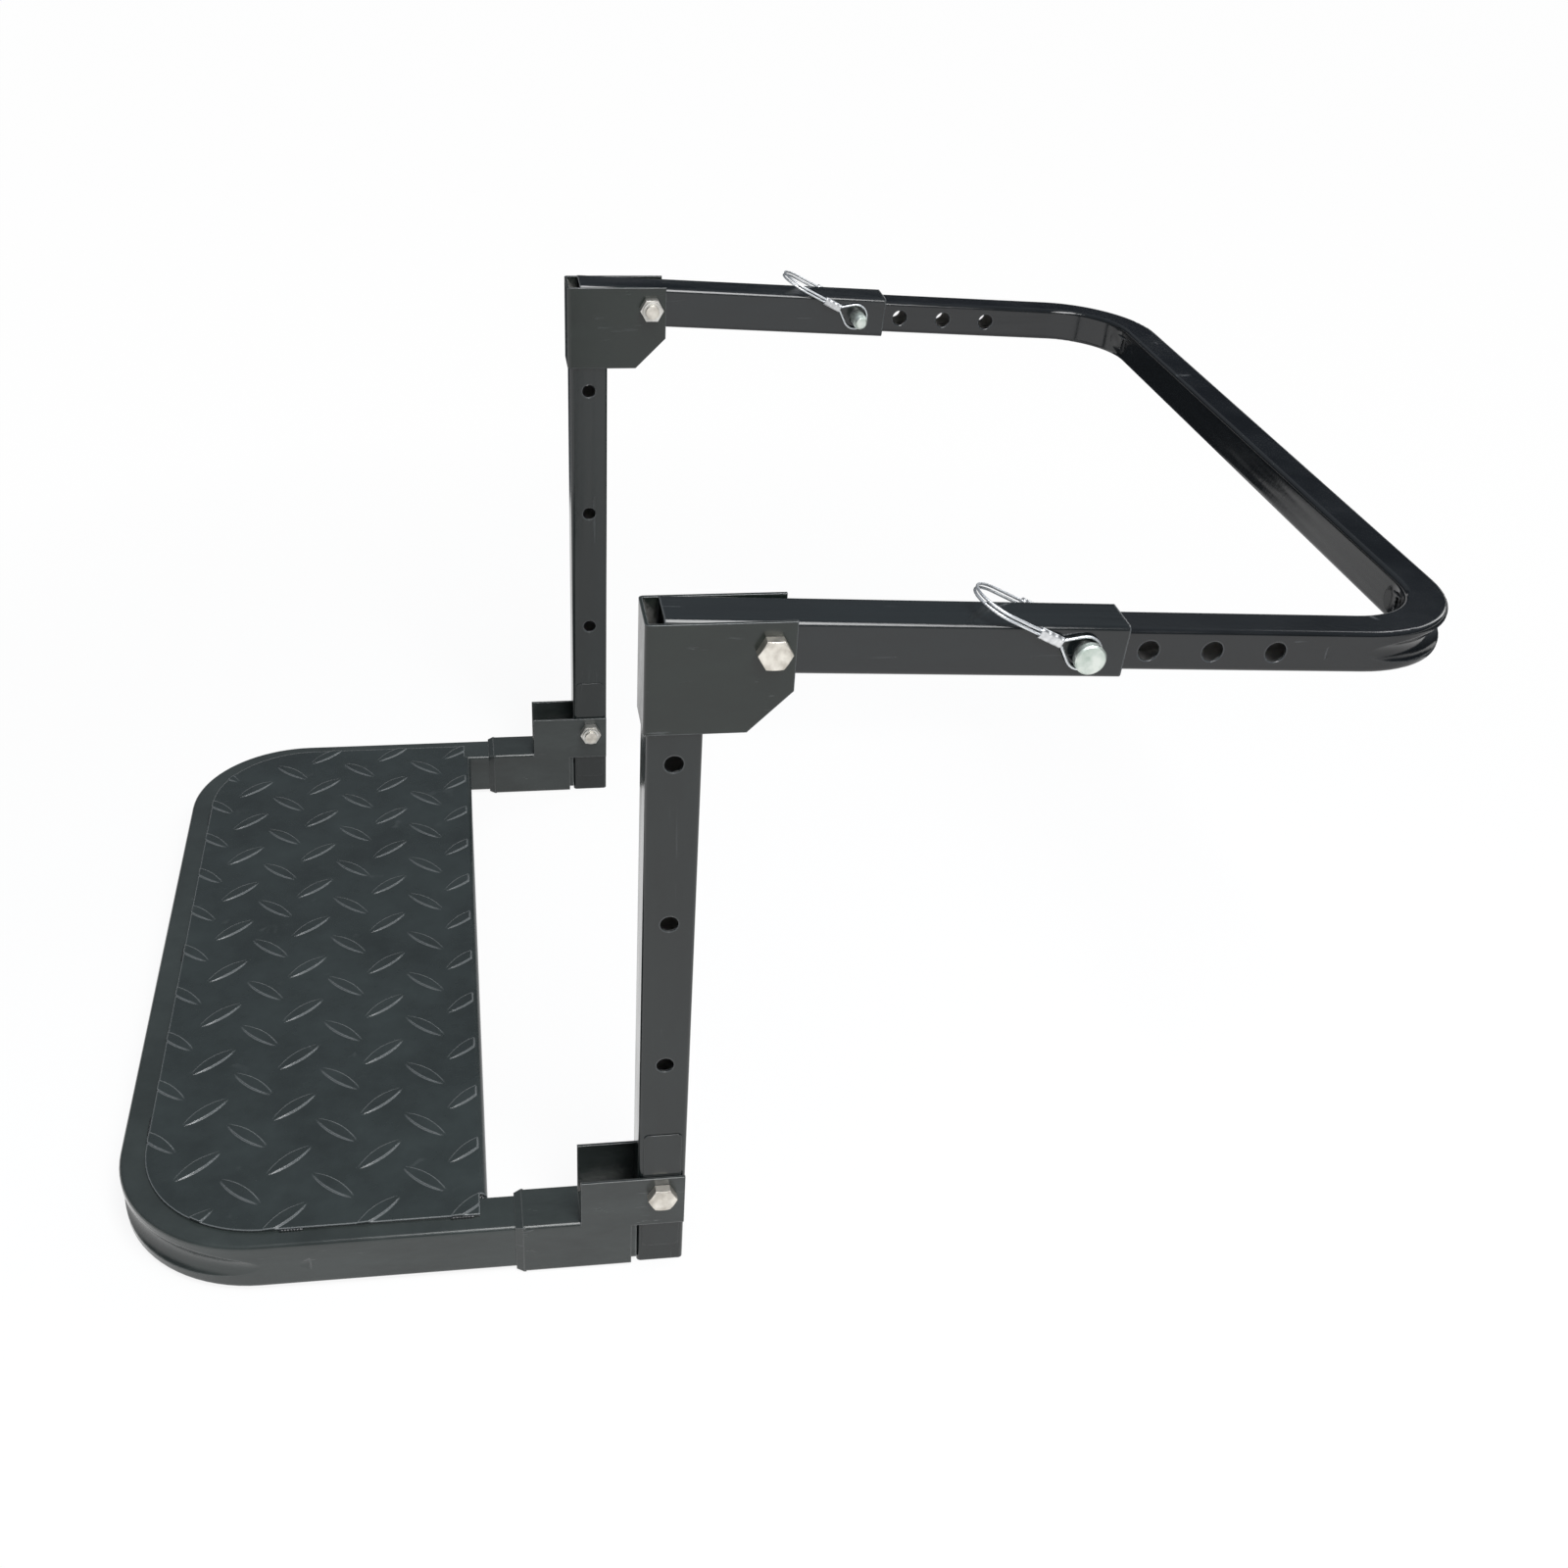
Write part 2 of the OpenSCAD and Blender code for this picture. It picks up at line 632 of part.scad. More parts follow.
upright(-1);  // near_upright
upright(1);  // far_upright
upper_bracket(-1);  // near_upper_bracket
upper_bracket(1);  // far_upper_bracket
doubler_pad(-1, -1);  // near_outer_pad
doubler_pad(-1, 1);  // near_inner_pad
doubler_pad(1, 1);  // far_outer_pad
doubler_pad(1, -1);  // far_inner_pad
upper_place(-1) hex_bolt(upper_outer_w, 0);  // near_upper_bolt
upper_place(1) hex_bolt(upper_outer_w, 0);  // far_upper_bolt
lower_place(-1) hex_bolt(ear_outer_w, face_play);  // near_lower_bolt
lower_place(1) hex_bolt(ear_outer_w, face_play);  // far_lower_bolt
upper_place(-1) lock_nut(upper_outer_w, 0);  // near_upper_nut
upper_place(1) lock_nut(upper_outer_w, 0);  // far_upper_nut
lower_place(-1) lock_nut(ear_outer_w, face_play);  // near_lower_nut
lower_place(1) lock_nut(ear_outer_w, face_play);  // far_lower_nut
step_frame();
tread_plate();
lower_bracket(-1);  // near_lower_bracket
lower_bracket(1);  // far_lower_bracket
arm(-1);  // near_arm
arm(1);  // far_arm
hoop();
pin(-1);  // near_pin
pin(1);  // far_pin
lanyard(-1);  // near_lanyard
lanyard(1);  // far_lanyard
ferrules(-1);  // near_ferrules
ferrules(1);  // far_ferrules
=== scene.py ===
import bpy
import bmesh
import math
from mathutils import Matrix, Vector


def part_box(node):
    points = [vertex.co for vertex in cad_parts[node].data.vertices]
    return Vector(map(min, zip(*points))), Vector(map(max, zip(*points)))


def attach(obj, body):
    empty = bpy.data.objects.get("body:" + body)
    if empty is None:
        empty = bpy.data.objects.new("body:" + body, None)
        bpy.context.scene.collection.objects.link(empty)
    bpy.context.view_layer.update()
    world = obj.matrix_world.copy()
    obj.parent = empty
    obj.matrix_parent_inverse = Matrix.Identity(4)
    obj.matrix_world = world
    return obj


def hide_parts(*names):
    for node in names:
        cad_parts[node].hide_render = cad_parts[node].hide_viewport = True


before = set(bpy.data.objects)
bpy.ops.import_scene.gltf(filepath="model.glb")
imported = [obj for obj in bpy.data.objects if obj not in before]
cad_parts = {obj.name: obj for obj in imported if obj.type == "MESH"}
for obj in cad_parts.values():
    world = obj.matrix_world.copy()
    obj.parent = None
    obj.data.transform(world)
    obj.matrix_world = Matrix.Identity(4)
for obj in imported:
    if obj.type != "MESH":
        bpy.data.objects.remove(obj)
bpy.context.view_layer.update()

# The viewpoint. The step stands on the floor and is seen from the platform's
# right-hand end, from above, with the lens that the photograph was taken with.
photo_side = 1600
focal_length = 1722.35
optical_centre = Vector((725.55, 882.71))
stand = Vector((-0.16187, -1.12188, 0.88771))
look = Vector((0.13342, 0.81250, -0.56749))
right = Vector((0.98996, -0.13619, 0.03776))
above = Vector((0.04661, 0.56683, 0.82252))
lens = bpy.data.cameras.new("camera")
lens.sensor_width = 36
lens.lens = lens.sensor_width * focal_length / photo_side
lens.shift_x = (photo_side / 2 - optical_centre.x) / photo_side
lens.shift_y = (optical_centre.y - photo_side / 2) / photo_side
camera = bpy.data.objects.new("camera", lens)
turned = Matrix((right, above, -look)).transposed().to_4x4()
camera.matrix_world = Matrix.Translation(stand) @ turned
bpy.context.collection.objects.link(camera)
bpy.context.scene.camera = camera

# The studio. A white paper floor that keeps a soft shadow and, for the light,
# ends a little beyond the step; a room that is white at the horizon and dim
# above; and soft boxes in front of the step and behind the hoop.
bpy.context.scene.view_settings.view_transform = "Standard"


def soft_box(name, place, width, height, power):
    """A rectangular lamp that points at the middle of the step."""
    lamp = bpy.data.lights.new(name, "AREA")
    lamp.shape = "RECTANGLE"
    lamp.size = width
    lamp.size_y = height
    lamp.energy = power
    box = bpy.data.objects.new(name, lamp)
    aim = Vector((0, 0, 0.2)) - Vector(place)
    tilt = aim.to_track_quat("-Z", "Y").to_matrix().to_4x4()
    box.matrix_world = Matrix.Translation(place) @ tilt
    bpy.context.collection.objects.link(box)


soft_box(
    "front_box", place=(0.35, -1.2, 2.5), width=1.0, height=2.5, power=98)
soft_box(
    "back_box", place=(2.2, 1.2, 1.8), width=0.6, height=1.6, power=12)

room = bpy.data.worlds.new("room")
bpy.context.scene.world = room
room.use_nodes = True
nodes, links = room.node_tree.nodes, room.node_tree.links
path = nodes.new("ShaderNodeLightPath")
seen = nodes.new("ShaderNodeMath")
seen.operation = "MAXIMUM"
links.new(path.outputs["Is Camera Ray"], seen.inputs[0])
links.new(path.outputs["Is Transmission Ray"], seen.inputs[1])
toward = nodes.new("ShaderNodeTexCoord")
axes = nodes.new("ShaderNodeSeparateXYZ")
links.new(toward.outputs["Generated"], axes.inputs[0])
sky = nodes.new("ShaderNodeValToRGB")
horizon_white = (0.9, 0.9, 0.9, 1)
ceiling = (0.3, 0.33, 0.37, 1)
sky.color_ramp.elements[0].color = horizon_white
sky.color_ramp.elements[1].color = ceiling
for height, shade in (
    (0.06, (0.9, 0.9, 0.88, 1)),
    (0.16, (0.03, 0.035, 0.045, 1)),
    (0.34, (0.04, 0.045, 0.055, 1)),
    (0.4, (0.22, 0.24, 0.26, 1)),
):
    sky.color_ramp.elements.new(height).color = shade
links.new(axes.outputs["Z"], sky.inputs["Fac"])
horizon = nodes.new("ShaderNodeMapRange")
horizon.inputs["From Min"].default_value = 0.12
horizon.inputs["From Max"].default_value = 0.06
links.new(axes.outputs["Z"], horizon.inputs["Value"])
mirrored = nodes.new("ShaderNodeMath")
mirrored.operation = "MULTIPLY"
links.new(path.outputs["Is Glossy Ray"], mirrored.inputs[0])
links.new(horizon.outputs["Result"], mirrored.inputs[1])
backdrop = nodes.new("ShaderNodeMath")
backdrop.operation = "MAXIMUM"
links.new(seen.outputs[0], backdrop.inputs[0])
links.new(mirrored.outputs[0], backdrop.inputs[1])
view = nodes.new("ShaderNodeMix")
view.data_type = "RGBA"
view.inputs["B"].default_value = (1, 1, 1, 1)
links.new(sky.outputs["Color"], view.inputs["A"])
links.new(backdrop.outputs[0], view.inputs["Factor"])
links.new(view.outputs["Result"], nodes["Background"].inputs["Color"])

floor_half = 20
below_feet = Matrix.Translation((0, 0, -0.0003))
sheet = bmesh.new()
bmesh.ops.create_grid(
    sheet, x_segments=1, y_segments=1, size=floor_half, matrix=below_feet)
mesh = bpy.data.meshes.new("floor")
sheet.to_mesh(mesh)
sheet.free()
floor = bpy.data.objects.new("floor", mesh)
bpy.context.collection.objects.link(floor)
paper = bpy.data.materials.new("floor")
paper.use_nodes = True
nodes, links = paper.node_tree.nodes, paper.node_tree.links
nodes["Principled BSDF"].inputs["Roughness"].default_value = 0.9
path = nodes.new("ShaderNodeLightPath")
pale = nodes.new("ShaderNodeMath")
pale.operation = "MAXIMUM"
links.new(path.outputs["Is Camera Ray"], pale.inputs[0])
where = nodes.new("ShaderNodeTexCoord")
beyond_step = (0.6, 0.8, 0)
away = nodes.new("ShaderNodeVectorMath")
away.operation = "DOT_PRODUCT"
away.inputs[1].default_value = beyond_step
links.new(where.outputs["Object"], away.inputs[0])
paper_end = nodes.new("ShaderNodeMapRange")
paper_end.inputs["From Min"].default_value = 0.76
paper_end.inputs["From Max"].default_value = 0.7
links.new(away.outputs["Value"], paper_end.inputs["Value"])
lit = nodes.new("ShaderNodeMath")
lit.operation = "MAXIMUM"
links.new(path.outputs["Is Camera Ray"], lit.inputs[0])
links.new(paper_end.outputs["Result"], lit.inputs[1])
ground = nodes.new("ShaderNodeMix")
ground.data_type = "RGBA"
dark_floor = (0.03, 0.035, 0.04, 1)
white_paper = (0.8, 0.8, 0.8, 1)
ground.inputs["A"].default_value = dark_floor
ground.inputs["B"].default_value = white_paper
links.new(lit.outputs[0], ground.inputs["Factor"])
links.new(ground.outputs["Result"], nodes["Principled BSDF"].inputs["Base Color"])
mirrored = nodes.new("ShaderNodeMath")
mirrored.operation = "MULTIPLY"
links.new(path.outputs["Is Glossy Ray"], mirrored.inputs[0])
links.new(paper_end.outputs["Result"], mirrored.inputs[1])
share = nodes.new("ShaderNodeMath")
share.operation = "MULTIPLY"
reach = nodes.new("ShaderNodeVectorMath")
reach.operation = "LENGTH"
links.new(where.outputs["Object"], reach.inputs[0])
fade = nodes.new("ShaderNodeMapRange")
fade.inputs["From Min"].default_value = 0.55
fade.inputs["From Max"].default_value = 1.3
fade.inputs["To Min"].default_value = 0.88
fade.inputs["To Max"].default_value = 0.985
links.new(reach.outputs["Value"], fade.inputs["Value"])
links.new(fade.outputs["Result"], share.inputs[1])
glare = nodes.new("ShaderNodeMapRange")
glare.inputs["From Min"].default_value = -0.5
glare.inputs["From Max"].default_value = 0.2
glare.inputs["To Min"].default_value = 1.3
glare.inputs["To Max"].default_value = 0.85
links.new(away.outputs["Value"], glare.inputs["Value"])
strength = nodes.new("ShaderNodeMix")
strength.inputs["B"].default_value = 1
links.new(path.outputs["Is Camera Ray"], strength.inputs["Factor"])
links.new(glare.outputs["Result"], strength.inputs["A"])
glow = nodes.new("ShaderNodeEmission")
links.new(strength.outputs["Result"], glow.inputs["Strength"])
blend = nodes.new("ShaderNodeMixShader")
links.new(mirrored.outputs[0], pale.inputs[1])
links.new(pale.outputs[0], share.inputs[0])
links.new(share.outputs[0], blend.inputs[0])
links.new(nodes["Principled BSDF"].outputs[0], blend.inputs[1])
links.new(glow.outputs[0], blend.inputs[2])
links.new(blend.outputs[0], nodes["Material Output"].inputs["Surface"])
mesh.materials.append(paper)

# The uprights. Two lengths of square steel tube, drilled and then powder coated
# in glossy black. The coat has a faint orange peel and long scuffs, and is thin
# and grey on sharp edges. In hollows, inside the tube, in the bores of its holes
# and in tight corners, the colour is painted pale like bare steel. This is partly
# the bare steel that the powder leaves, and partly painted light where shade
# falls.
def node_group(name, inputs, outputs):
    """An empty shader node group with its sockets."""
    group = bpy.data.node_groups.new(name, "ShaderNodeTree")
    for label, kind, value in inputs:
        socket = group.interface.new_socket(
            label, in_out="INPUT", socket_type="NodeSocket" + kind)
        if value is not None:
            socket.default_value = value
    for label, kind in outputs:
        group.interface.new_socket(
            label, in_out="OUTPUT", socket_type="NodeSocket" + kind)
    return group


along_tube = (12, 420, 420)
coat_texture = node_group(
    "coat_texture",
    [("Peel", "Float", 300), ("Grit", "Float", 1600),
     ("Grain", "Vector", along_tube), ("Waves", "Float", 4)],
    [("Height", "Float")])
nodes, links = coat_texture.nodes, coat_texture.links
given = nodes.new("NodeGroupInput")
out = nodes.new("NodeGroupOutput")
where = nodes.new("ShaderNodeTexCoord")
peel = nodes.new("ShaderNodeTexNoise")
peel.inputs["Detail"].default_value = 1
grit = nodes.new("ShaderNodeTexNoise")
grit.inputs["Detail"].default_value = 2
both = nodes.new("ShaderNodeMath")
both.operation = "MULTIPLY_ADD"
both.inputs[1].default_value = 0.15
along = nodes.new("ShaderNodeVectorMath")
along.operation = "MULTIPLY"
drawn = nodes.new("ShaderNodeTexNoise")
drawn.inputs["Scale"].default_value = 0.3
drawn.inputs["Detail"].default_value = 1
tube = nodes.new("ShaderNodeMath")
tube.operation = "MULTIPLY_ADD"
for noise, scale in ((peel, "Peel"), (grit, "Grit")):
    links.new(where.outputs["Object"], noise.inputs["Vector"])
    links.new(given.outputs[scale], noise.inputs["Scale"])
links.new(where.outputs["Object"], along.inputs[0])
links.new(given.outputs["Grain"], along.inputs[1])
links.new(along.outputs["Vector"], drawn.inputs["Vector"])
links.new(grit.outputs["Fac"], both.inputs[0])
links.new(peel.outputs["Fac"], both.inputs[2])
links.new(drawn.outputs["Fac"], tube.inputs[0])
links.new(given.outputs["Waves"], tube.inputs[1])
links.new(both.outputs[0], tube.inputs[2])
links.new(tube.outputs[0], out.inputs["Height"])

soft_edge = node_group(
    "soft_edge",
    [("Radius", "Float", 0.0006)],
    [("Normal", "Vector"), ("Edge", "Float")])
nodes, links = soft_edge.nodes, soft_edge.links
given = nodes.new("NodeGroupInput")
out = nodes.new("NodeGroupOutput")
rounded = nodes.new("ShaderNodeBevel")
rounded.samples = 8
flat = nodes.new("ShaderNodeNewGeometry")
turned = nodes.new("ShaderNodeVectorMath")
turned.operation = "DOT_PRODUCT"
edge = nodes.new("ShaderNodeMapRange")
edge.inputs["From Min"].default_value = 0.995
edge.inputs["From Max"].default_value = 0.9
links.new(given.outputs["Radius"], rounded.inputs["Radius"])
links.new(rounded.outputs[0], turned.inputs[0])
links.new(flat.outputs["Normal"], turned.inputs[1])
links.new(turned.outputs["Value"], edge.inputs["Value"])
links.new(rounded.outputs[0], out.inputs["Normal"])
links.new(edge.outputs["Result"], out.inputs["Edge"])

scuffs = node_group(
    "scuffs",
    [("Grain", "Vector", along_tube), ("Amount", "Float", 0.5)],
    [("Mask", "Float")])
nodes, links = scuffs.nodes, scuffs.links
given = nodes.new("NodeGroupInput")
out = nodes.new("NodeGroupOutput")
where = nodes.new("ShaderNodeTexCoord")
drawn = nodes.new("ShaderNodeVectorMath")
drawn.operation = "MULTIPLY"
hairs = nodes.new("ShaderNodeTexNoise")
hairs.inputs["Scale"].default_value = 1
hairs.inputs["Detail"].default_value = 3
hairs.inputs["Distortion"].default_value = 0.6
patch = nodes.new("ShaderNodeTexNoise")
patch.inputs["Scale"].default_value = 26
patch.inputs["Detail"].default_value = 2
thin = nodes.new("ShaderNodeMapRange")
thin.inputs["From Min"].default_value = 0.66
thin.inputs["From Max"].default_value = 0.74
spread = nodes.new("ShaderNodeMapRange")
spread.inputs["From Min"].default_value = 0.48
spread.inputs["From Max"].default_value = 0.66
few = nodes.new("ShaderNodeMath")
few.operation = "MULTIPLY"
much = nodes.new("ShaderNodeMath")
much.operation = "MULTIPLY"
links.new(where.outputs["Object"], drawn.inputs[0])
links.new(given.outputs["Grain"], drawn.inputs[1])
links.new(drawn.outputs["Vector"], hairs.inputs["Vector"])
links.new(where.outputs["Object"], patch.inputs["Vector"])
links.new(hairs.outputs["Fac"], thin.inputs["Value"])
links.new(patch.outputs["Fac"], spread.inputs["Value"])
links.new(thin.outputs["Result"], few.inputs[0])
links.new(spread.outputs["Result"], few.inputs[1])
links.new(few.outputs[0], much.inputs[0])
links.new(given.outputs["Amount"], much.inputs[1])
links.new(much.outputs[0], out.inputs["Mask"])


def coated_steel(
    name, paint_and_light, edge_wear_and_sheen, gloss, edge_radius, peel, grain, scuffing, waves=4
):
    """Glossy powder coat: orange peel, thin pale edges, scuffs, and pale hollows,
    partly bare steel and partly painted light.
    """
    # The base colour is the coat's own colour. On the frame, tread, sleeves, arms
    # and hoop it also holds painted light or painted shade.
    deep_tone = [0.3 * part for part in paint_and_light]
    pale_tone = [1.7 * part for part in paint_and_light]
    bare_steel_and_hollow_light = (0.5, 0.49, 0.47, 1)
    handled = gloss + 0.14
    coat = bpy.data.materials.new(name)
    coat.use_nodes = True
    nodes, links = coat.node_tree.nodes, coat.node_tree.links
    shader = nodes["Principled BSDF"]
    edges = nodes.new("ShaderNodeGroup")
    edges.node_tree = soft_edge
    edges.inputs["Radius"].default_value = edge_radius
    texture = nodes.new("ShaderNodeGroup")
    texture.node_tree = coat_texture
    texture.inputs["Peel"].default_value = peel
    texture.inputs["Grain"].default_value = grain
    texture.inputs["Waves"].default_value = waves
    marks = nodes.new("ShaderNodeGroup")
    marks.node_tree = scuffs
    marks.inputs["Grain"].default_value = grain
    marks.inputs["Amount"].default_value = scuffing
    bump = nodes.new("ShaderNodeBump")
    bump.inputs["Strength"].default_value = 0.3
    bump.inputs["Distance"].default_value = 0.00008
    links.new(texture.outputs["Height"], bump.inputs["Height"])
    links.new(edges.outputs["Normal"], bump.inputs["Normal"])
    links.new(bump.outputs["Normal"], shader.inputs["Normal"])
    tone = nodes.new("ShaderNodeTexNoise")
    tone.inputs["Scale"].default_value = 2.4
    tone.inputs["Detail"].default_value = 6
    tone.inputs["Roughness"].default_value = 0.65
    where = nodes.new("ShaderNodeTexCoord")
    along = nodes.new("ShaderNodeVectorMath")
    along.operation = "MULTIPLY"
    along.inputs[1].default_value = [math.sqrt(part) for part in grain]
    links.new(where.outputs["Object"], along.inputs[0])
    links.new(along.outputs["Vector"], tone.inputs["Vector"])
    depth = nodes.new("ShaderNodeMix")
    depth.data_type = "RGBA"
    depth.inputs["A"].default_value = (*deep_tone, 1)
    depth.inputs["B"].default_value = (*pale_tone, 1)
    links.new(tone.outputs["Fac"], depth.inputs["Factor"])
    # The edge mask and the scuffs mix in the edge colour: worn, thin coat, and on
    # the tread plate's lugs also a painted highlight.
    wear_and_sheen_mask = nodes.new("ShaderNodeMath")
    wear_and_sheen_mask.operation = "MAXIMUM"
    links.new(edges.outputs["Edge"], wear_and_sheen_mask.inputs[0])
    links.new(marks.outputs["Mask"], wear_and_sheen_mask.inputs[1])
    rub_and_sheen = nodes.new("ShaderNodeMix")
    rub_and_sheen.data_type = "RGBA"
    rub_and_sheen.inputs["B"].default_value = (*edge_wear_and_sheen, 1)
    links.new(depth.outputs["Result"], rub_and_sheen.inputs["A"])
    links.new(wear_and_sheen_mask.outputs[0], rub_and_sheen.inputs["Factor"])
    # Painted light in hollows: where the occlusion is deep, inside the tubes, in
    # hole bores and in tight corners, the colour turns pale like bare steel.
    # Inside the tube it is partly real bare steel. Elsewhere it lightens places
    # where shade falls.
    occlusion = nodes.new("ShaderNodeAmbientOcclusion")
    occlusion.samples = 6
    occlusion.only_local = True
    occlusion.inputs["Distance"].default_value = 0.06
    hollow_light_mask = nodes.new("ShaderNodeMapRange")
    hollow_light_mask.inputs["From Min"].default_value = 0.24
    hollow_light_mask.inputs["From Max"].default_value = 0.12
    hollow_lightening = nodes.new("ShaderNodeMix")
    hollow_lightening.data_type = "RGBA"
    hollow_lightening.inputs["B"].default_value = bare_steel_and_hollow_light
    links.new(occlusion.outputs["AO"], hollow_light_mask.inputs["Value"])
    links.new(hollow_light_mask.outputs["Result"], hollow_lightening.inputs["Factor"])
    links.new(rub_and_sheen.outputs["Result"], hollow_lightening.inputs["A"])
    links.new(hollow_lightening.outputs["Result"], shader.inputs["Base Color"])
    dull = nodes.new("ShaderNodeMapRange")
    dull.inputs["From Min"].default_value = 0.3
    dull.inputs["From Max"].default_value = 0.75
    dull.inputs["To Min"].default_value = gloss
    dull.inputs["To Max"].default_value = handled
    links.new(tone.outputs["Fac"], dull.inputs["Value"])
    rough = nodes.new("ShaderNodeMath")
    rough.operation = "MULTIPLY_ADD"
    rough.inputs[1].default_value = 0.3
    links.new(marks.outputs["Mask"], rough.inputs[0])
    links.new(dull.outputs["Result"], rough.inputs[2])
    links.new(rough.outputs[0], shader.inputs["Roughness"])
    return coat


def finish_node(name, material):
    """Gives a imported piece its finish."""
    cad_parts[name].data.materials.clear()
    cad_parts[name].data.materials.append(material)


upright_x = -0.0541446
upright_half = 0.015875
side_y = 0.307
ends = {-1: "near", 1: "far"}
upright_coat = coated_steel(
    "upright_coat", paint_and_light=(0.007, 0.01, 0.01), edge_wear_and_sheen=(0.07, 0.076, 0.08),
    gloss=0.08, edge_radius=0.0014, peel=280, grain=(420, 420, 12),
    scuffing=0.4)
for name in ("near_upright", "far_upright"):
    finish_node(name, upright_coat)

# The doubler pads. A thin plate on each side of an upright's foot, where the
# ears of the platform's bracket bear, tacked on at its corners before coating.
pad_coat = coated_steel(
    "pad_coat", paint_and_light=(0.008, 0.011, 0.011), edge_wear_and_sheen=(0.045, 0.05, 0.052),
    gloss=0.12, edge_radius=0.0006, peel=280, grain=(300, 300, 20),
    scuffing=0.3)


def weld_bead(mesh, start, end, radius, ripple):
    """A run of weld: a round bead whose width rises and falls at each ripple."""
    run = end - start
    steps_per_ripple = 4
    steps = max(4, round(run.length / ripple) * steps_per_ripple)
    turn = run.to_track_quat("Z", "Y").to_matrix().to_4x4()
    tip_width = 0.45
    ring = bmesh.ops.create_circle(
        mesh, cap_ends=True, segments=10, radius=radius * tip_width,
        matrix=Matrix.Translation(start) @ turn)["verts"]
    edges = [edge for edge in mesh.edges
             if edge.verts[0] in ring and edge.verts[1] in ring]
    width = tip_width
    for step in range(1, steps + 1):
        grown = bmesh.ops.extrude_edge_only(mesh, edges=edges)["geom"]
        ring = [part for part in grown if isinstance(part, bmesh.types.BMVert)]
        edges = [part for part in grown if isinstance(part, bmesh.types.BMEdge)
                 and part.verts[0] in ring and part.verts[1] in ring]
        bmesh.ops.translate(mesh, verts=ring, vec=run / steps)
        wanted = 0.86 + 0.14 * math.cos(step * math.pi / 2)
        if step == steps:
            wanted = tip_width
        centre = start + run * step / steps
        bmesh.ops.scale(
            mesh, verts=ring, vec=Vector((1, 1, 1)) * wanted / width,
            space=Matrix.Translation(-centre))
        width = wanted
    bmesh.ops.contextual_create(mesh, geom=edges)


def weld_piece(name, mesh, material, body):
    """Closes a piece of weld, smooths it and lets it ride on its body."""
    bmesh.ops.remove_doubles(mesh, verts=mesh.verts, dist=0.00001)
    bmesh.ops.recalc_face_normals(mesh, faces=mesh.faces)
    for face in mesh.faces:
        face.smooth = True
    shape = bpy.data.meshes.new(name)
    mesh.to_mesh(shape)
    mesh.free()
    shape.materials.append(material)
    piece = bpy.data.objects.new(name, shape)
    bpy.context.collection.objects.link(piece)
    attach(piece, body)


weld_coat = coated_steel(
    "weld_coat", paint_and_light=(0.012, 0.014, 0.015), edge_wear_and_sheen=(0.08, 0.085, 0.09),
    gloss=0.14, edge_radius=0.0002, peel=600, grain=(300, 300, 300),
    scuffing=0.3)
pad_ends = (0.1168, 0.0152)
tack_x = 0.0085
tack_reach = Vector((0.002, 0, 0))
weld_y = 0.0161
tacks = bmesh.new()
for side in (-1, 1):
    for face in (-1, 1):
        pad = "_outer_pad" if side == face else "_inner_pad"
        finish_node(ends[side] + pad, pad_coat)
        for along in (-1, 1):
            for height in pad_ends:
                centre = Vector((
                    upright_x + along * tack_x,
                    side * side_y + face * weld_y,
                    height))
                weld_bead(
                    tacks, centre - tack_reach, centre + tack_reach,
                    radius=0.0007, ripple=0.001)
weld_piece("pad_tacks", tacks, weld_coat, "uprights")

# The upper brackets. Sheet steel folded to a channel that stands open to the
# front, welded to the upright's top along the inside of its two walls.
bracket_coat = coated_steel(
    "bracket_coat", paint_and_light=(0.007, 0.011, 0.009), edge_wear_and_sheen=(0.08, 0.086, 0.09),
    gloss=0.15, edge_radius=0.001, peel=220, grain=(40, 300, 300),
    scuffing=0.6)
seam_foot_z = 0.4215
seam_top = Vector((0, 0, 0.024))
lower_seam_back = Vector((-0.029, 0, -0.0018))
lower_seam_front = Vector((-0.004, 0, -0.0018))
seams = bmesh.new()
for side in (-1, 1):
    finish_node(ends[side] + "_upper_bracket", bracket_coat)
    for face in (-1, 1):
        foot = Vector((
            upright_x + upright_half,
            side * side_y + face * weld_y,
            seam_foot_z))
        weld_bead(seams, foot, foot + seam_top, radius=0.0014, ripple=0.0022)
        weld_bead(
            seams, foot + lower_seam_back, foot + lower_seam_front,
            radius=0.0013, ripple=0.0022)
weld_piece("bracket_welds", seams, weld_coat, "uprights")

# The pivot bolts and their nuts. Zinc-plated steel with a faint warm tint,
# turned and cold headed. Each bolt's thread just shows beyond its lock nut.
plating = node_group(
    "plating",
    [("Light", "Color", None), ("Dark", "Color", None),
     ("Crystal", "Float", 500)],
    [("Color", "Color"), ("Height", "Float"), ("Haze", "Float")])
nodes, links = plating.nodes, plating.links
given = nodes.new("NodeGroupInput")
out = nodes.new("NodeGroupOutput")
where = nodes.new("ShaderNodeTexCoord")
crystals = nodes.new("ShaderNodeTexVoronoi")
bloom = nodes.new("ShaderNodeTexNoise")
bloom.inputs["Scale"].default_value = 160
bloom.inputs["Detail"].default_value = 5
mixed = nodes.new("ShaderNodeMix")
mixed.data_type = "RGBA"
haze = nodes.new("ShaderNodeMapRange")
haze.inputs["From Min"].default_value = 0.35
haze.inputs["From Max"].default_value = 0.7
links.new(where.outputs["Object"], crystals.inputs["Vector"])
links.new(where.outputs["Object"], bloom.inputs["Vector"])
links.new(given.outputs["Crystal"], crystals.inputs["Scale"])
links.new(bloom.outputs["Fac"], haze.inputs["Value"])
links.new(haze.outputs["Result"], mixed.inputs["Factor"])
links.new(given.outputs["Light"], mixed.inputs["A"])
links.new(given.outputs["Dark"], mixed.inputs["B"])
links.new(mixed.outputs["Result"], out.inputs["Color"])
links.new(crystals.outputs["Distance"], out.inputs["Height"])
links.new(haze.outputs["Result"], out.inputs["Haze"])


